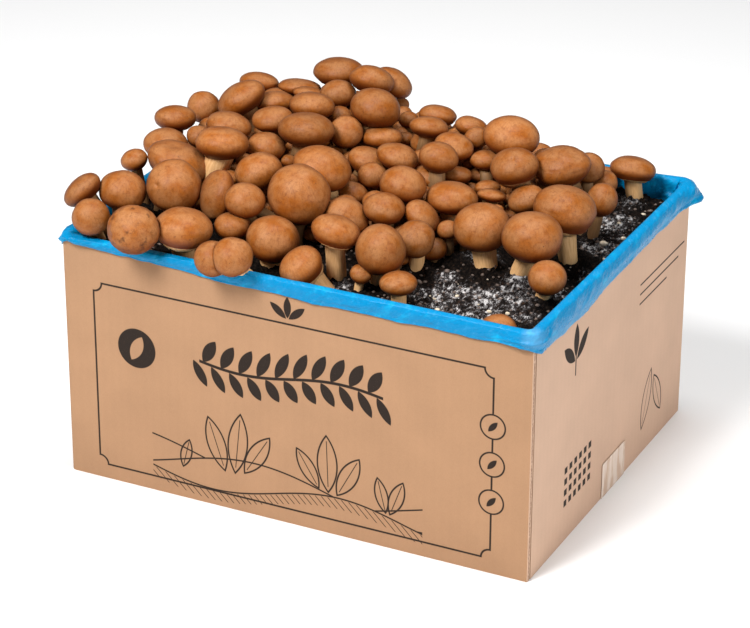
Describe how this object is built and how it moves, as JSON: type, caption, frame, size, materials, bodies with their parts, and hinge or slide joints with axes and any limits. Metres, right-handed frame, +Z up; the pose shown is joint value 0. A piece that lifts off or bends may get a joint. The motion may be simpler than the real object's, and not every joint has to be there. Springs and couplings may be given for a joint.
{
  "type": "mushroom grow kit",
  "caption": "Open corrugated cardboard box with a film bag folded over its rim, holding a compost block covered in peat and a crowded flush of brown-capped mushrooms.",
  "frame": {"origin": "middle of the box's footprint, on the surface the box stands on", "axes": "+X to the right along the wide front wall, +Y to the back, +Z up; the glued corner is at +X, -Y"},
  "size_m": [0.4012, 0.3401, 0.2613],
  "materials": {
    "kraft_board": "matt",
    "clear_tape": "glossy",
    "blue_film": "glossy",
    "peat": "rough",
    "chestnut_skin": "satin"
  },
  "bodies": {
    "root": {"carton": "kraft_board", "tape_strip": "clear_tape", "liner": "blue_film", "compost_block": "peat", "mushroom_01": "chestnut_skin", "mushroom_02": "chestnut_skin", "mushroom_03": "chestnut_skin", "mushroom_04": "chestnut_skin", "mushroom_05": "chestnut_skin", "mushroom_06": "chestnut_skin", "mushroom_07": "chestnut_skin", "mushroom_08": "chestnut_skin", "mushroom_09": "chestnut_skin", "mushroom_10": "chestnut_skin", "mushroom_11": "chestnut_skin", "mushroom_12": "chestnut_skin", "mushroom_13": "chestnut_skin", "mushroom_14": "chestnut_skin", "mushroom_15": "chestnut_skin", "mushroom_16": "chestnut_skin", "mushroom_17": "chestnut_skin", "mushroom_18": "chestnut_skin", "mushroom_19": "chestnut_skin", "mushroom_20": "chestnut_skin", "mushroom_21": "chestnut_skin", "mushroom_22": "chestnut_skin", "mushroom_23": "chestnut_skin", "mushroom_24": "chestnut_skin", "mushroom_25": "chestnut_skin", "mushroom_26": "chestnut_skin", "mushroom_27": "chestnut_skin", "mushroom_28": "chestnut_skin", "mushroom_29": "chestnut_skin", "mushroom_30": "chestnut_skin", "mushroom_31": "chestnut_skin", "mushroom_32": "chestnut_skin", "mushroom_33": "chestnut_skin", "mushroom_34": "chestnut_skin", "mushroom_35": "chestnut_skin", "mushroom_36": "chestnut_skin", "mushroom_37": "chestnut_skin", "mushroom_38": "chestnut_skin", "mushroom_39": "chestnut_skin", "mushroom_40": "chestnut_skin", "mushroom_41": "chestnut_skin", "mushroom_42": "chestnut_skin", "mushroom_43": "chestnut_skin", "mushroom_44": "chestnut_skin", "mushroom_45": "chestnut_skin", "mushroom_46": "chestnut_skin", "mushroom_47": "chestnut_skin", "mushroom_48": "chestnut_skin", "mushroom_49": "chestnut_skin", "mushroom_50": "chestnut_skin", "mushroom_51": "chestnut_skin", "mushroom_52": "chestnut_skin", "mushroom_53": "chestnut_skin"}
  },
  "joints": []
}
